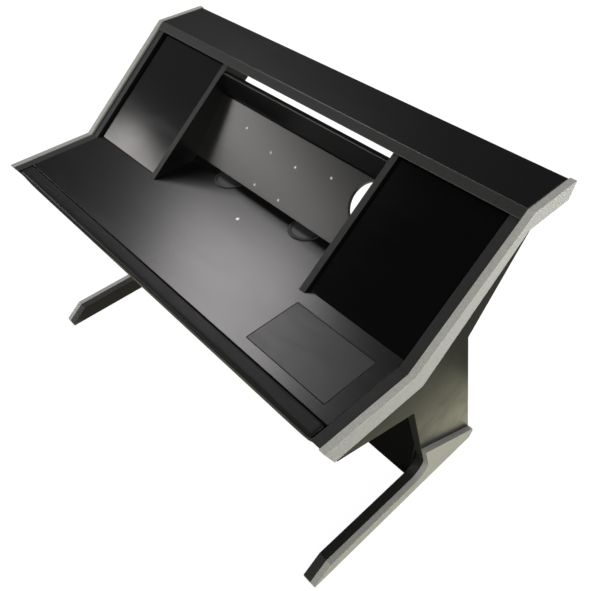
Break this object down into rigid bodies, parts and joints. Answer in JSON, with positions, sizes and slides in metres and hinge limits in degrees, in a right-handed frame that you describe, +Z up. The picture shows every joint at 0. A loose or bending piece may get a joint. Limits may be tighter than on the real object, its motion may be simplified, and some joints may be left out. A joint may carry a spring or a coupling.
{
  "type": "studio desk",
  "caption": "Studio desk with C-shaped side legs, sloping bays, raised rear shelf, tilted back panel with cable notch, cable grommets and a padded armrest.",
  "frame": {"origin": "centre of the desk's footprint box, on the floor", "axes": "+X to the right of the person at the desk, +Y away from them towards the rear shelf, +Z up"},
  "size_m": [1.37, 0.7754, 0.97],
  "materials": {
    "black_board": "satin black laminate",
    "gloss_board": "gloss black lacquer",
    "side_board": "satin black laminate",
    "silver_board": "satin silver lacquer",
    "vinyl": "soft black vinyl",
    "inlay": "matte black",
    "plastic": "satin black",
    "steel": "satin",
    "bracket_steel": "black powder coat"
  },
  "bodies": {
    "desk": {"side_panel_left": "side_board", "side_panel_right": "side_board", "side_trim_left": "silver_board", "side_trim_right": "silver_board", "foot_trim_left": "silver_board", "foot_trim_right": "silver_board", "foot_glide_front_left": "plastic", "foot_glide_rear_left": "plastic", "foot_glide_front_right": "plastic", "foot_glide_rear_right": "plastic", "worktop": "black_board", "inlay_pad": "inlay", "worktop_insert": "steel", "grommet_ring_left": "plastic", "grommet_ring_right": "plastic", "bracket_front_left": "bracket_steel", "bracket_front_right": "bracket_steel", "bracket_rear_left": "bracket_steel", "bracket_rear_right": "bracket_steel", "armrest_pad": "vinyl", "front_rail": "black_board", "top_shelf": "black_board", "upper_rear_rail": "black_board", "back_panel": "black_board", "panel_insert_outer_left": "steel", "panel_insert_outer_right": "steel", "panel_insert_upper_left": "steel", "panel_insert_upper_right": "steel", "panel_insert_lower_left": "steel", "panel_insert_lower_right": "steel", "bay_divider_left": "black_board", "bay_divider_right": "black_board", "bay_panel_left": "gloss_board", "bay_panel_right": "gloss_board", "bay_batten_lower_left": "black_board", "bay_batten_lower_right": "black_board", "bay_batten_upper_left": "black_board", "bay_batten_upper_right": "black_board", "modesty_panel": "black_board"},
    "cap_left": {"grommet_cap_left": "plastic"},
    "cap_right": {"grommet_cap_right": "plastic"}
  },
  "joints": [
    {"name": "cap_left_turn", "type": "hinge", "parent": "desk", "child": "cap_left", "pos_m": [-0.1615, 0.06625, 0.701], "axis": [0, 0, 1], "continuous": true},
    {"name": "cap_right_turn", "type": "hinge", "parent": "desk", "child": "cap_right", "pos_m": [0.1615, 0.06625, 0.701], "axis": [0, 0, 1], "continuous": true}
  ]
}
